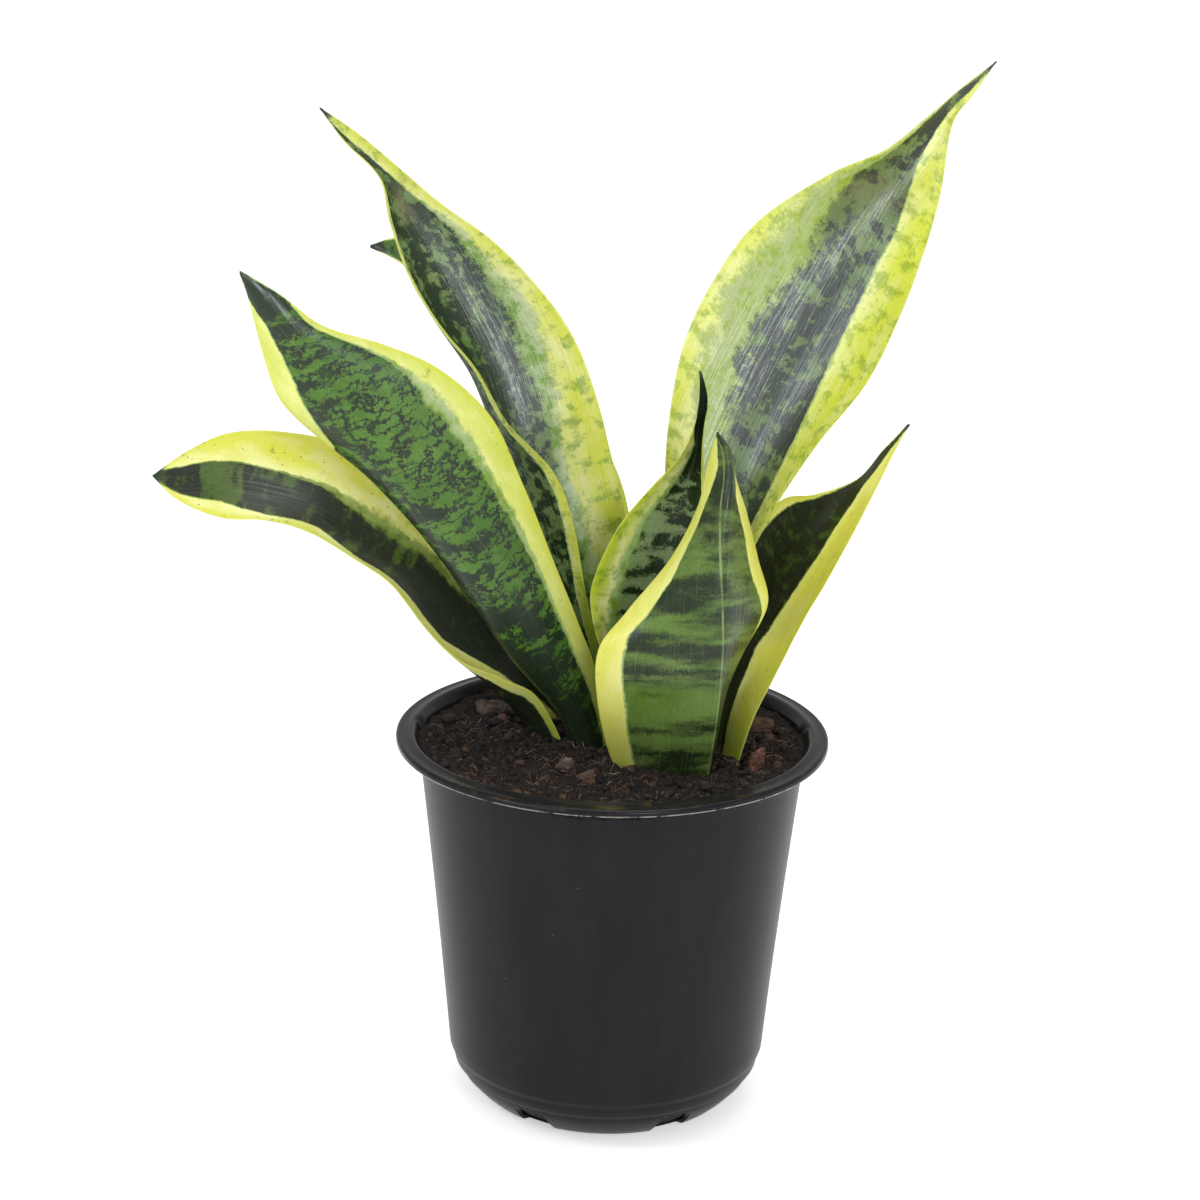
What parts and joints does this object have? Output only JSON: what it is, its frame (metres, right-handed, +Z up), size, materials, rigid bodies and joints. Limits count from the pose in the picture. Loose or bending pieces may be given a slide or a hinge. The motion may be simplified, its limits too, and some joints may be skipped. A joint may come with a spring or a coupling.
{
  "type": "potted snake plant",
  "caption": "Small snake plant with broad pointed variegated leaves in a round tapered black plastic nursery pot, filled with dark soil.",
  "frame": {"origin": "centre of the pot's flat underside, on the surface it stands on", "axes": "+Z up along the pot's axis; -Y is the front, the side seen in the picture; the tallest leaf leans towards +X and +Y"},
  "size_m": [0.318, 0.1807, 0.391],
  "materials": {
    "black_plastic": "satin",
    "dark_peat": "matte",
    "leaf_front_left_green": "satin",
    "leaf_low_left_green": "satin",
    "leaf_back_left_green": "satin",
    "leaf_hidden_left_green": "satin",
    "leaf_back_right_green": "satin",
    "leaf_young_centre_green": "satin",
    "leaf_front_centre_green": "satin",
    "leaf_right_green": "satin",
    "bark": "matte"
  },
  "bodies": {
    "root": {"pot": "black_plastic", "soil": "dark_peat", "leaf_front_left": "leaf_front_left_green", "leaf_low_left": "leaf_low_left_green", "leaf_back_left": "leaf_back_left_green", "leaf_hidden_left": "leaf_hidden_left_green", "leaf_back_right": "leaf_back_right_green", "leaf_young_centre": "leaf_young_centre_green", "leaf_front_centre": "leaf_front_centre_green", "leaf_right": "leaf_right_green", "chip_flat_left": "bark", "chip_front_left": "bark", "chip_front": "bark", "chip_red_right": "bark", "chip_large_right": "bark", "chip_back": "bark"}
  },
  "joints": []
}
